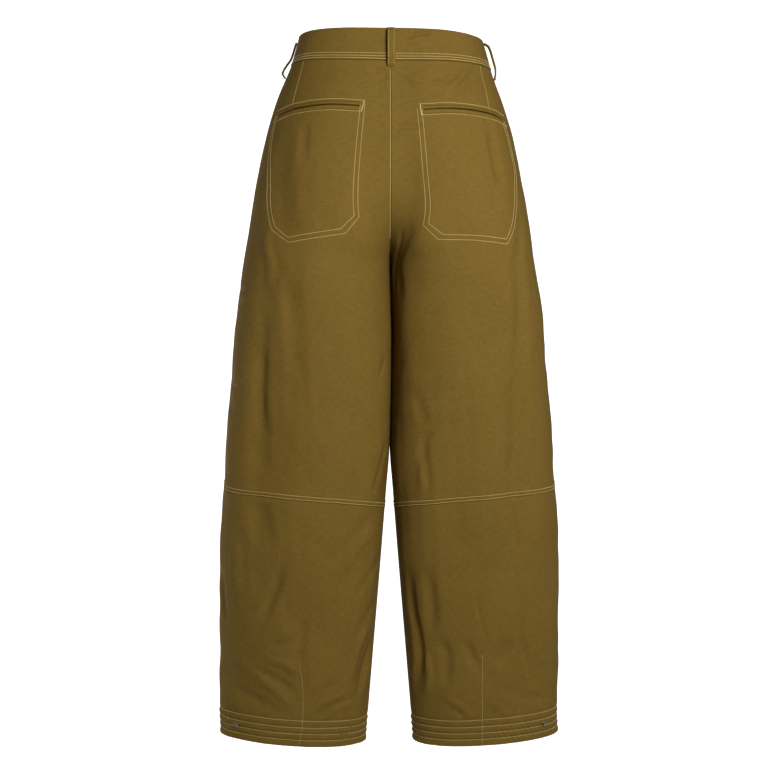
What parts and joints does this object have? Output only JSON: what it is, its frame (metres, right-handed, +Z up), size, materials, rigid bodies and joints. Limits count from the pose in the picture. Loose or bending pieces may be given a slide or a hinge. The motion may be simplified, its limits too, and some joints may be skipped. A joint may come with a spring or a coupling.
{
  "type": "barrel leg trousers",
  "caption": "High-waisted trousers with full, inward-curving barrel legs, a belt-looped waistband, welt back pockets and deep stitched hems, standing open as if worn.",
  "frame": {"origin": "middle of the waist opening, level with the top edge of the waistband at the centre back, where the wearer's waist holds the trousers up", "axes": "+Z up along the wearer's body, +Y towards the back of the trousers, +X towards the wearer's left"},
  "size_m": [0.4884, 0.2447, 1.0147],
  "materials": {
    "twill": "olive khaki cotton twill with a slight sheen",
    "pocketing": "plain cotton pocketing dyed to match",
    "button": "brown polished button",
    "snap": "dark nickel snap",
    "thread": "pale beige topstitching thread"
  },
  "bodies": {
    "root": {"waistband": "twill", "back_upper_left": "twill", "back_upper_right": "twill", "back_lower_left": "twill", "back_lower_right": "twill", "front_left": "twill", "front_right": "twill", "hem_facing_left": "twill", "hem_facing_right": "twill", "hem_snap_left": "snap", "hem_snap_right": "snap", "pocket_lip_upper_left": "twill", "pocket_lip_lower_left": "twill", "pocket_bag_left": "pocketing", "pocket_lip_upper_right": "twill", "pocket_lip_lower_right": "twill", "pocket_bag_right": "pocketing", "belt_loop_back": "twill", "belt_loop_side_left": "twill", "belt_loop_side_right": "twill", "belt_loop_front_left": "twill", "belt_loop_front_right": "twill", "fly_shield": "twill", "waist_button": "button"}
  },
  "joints": []
}
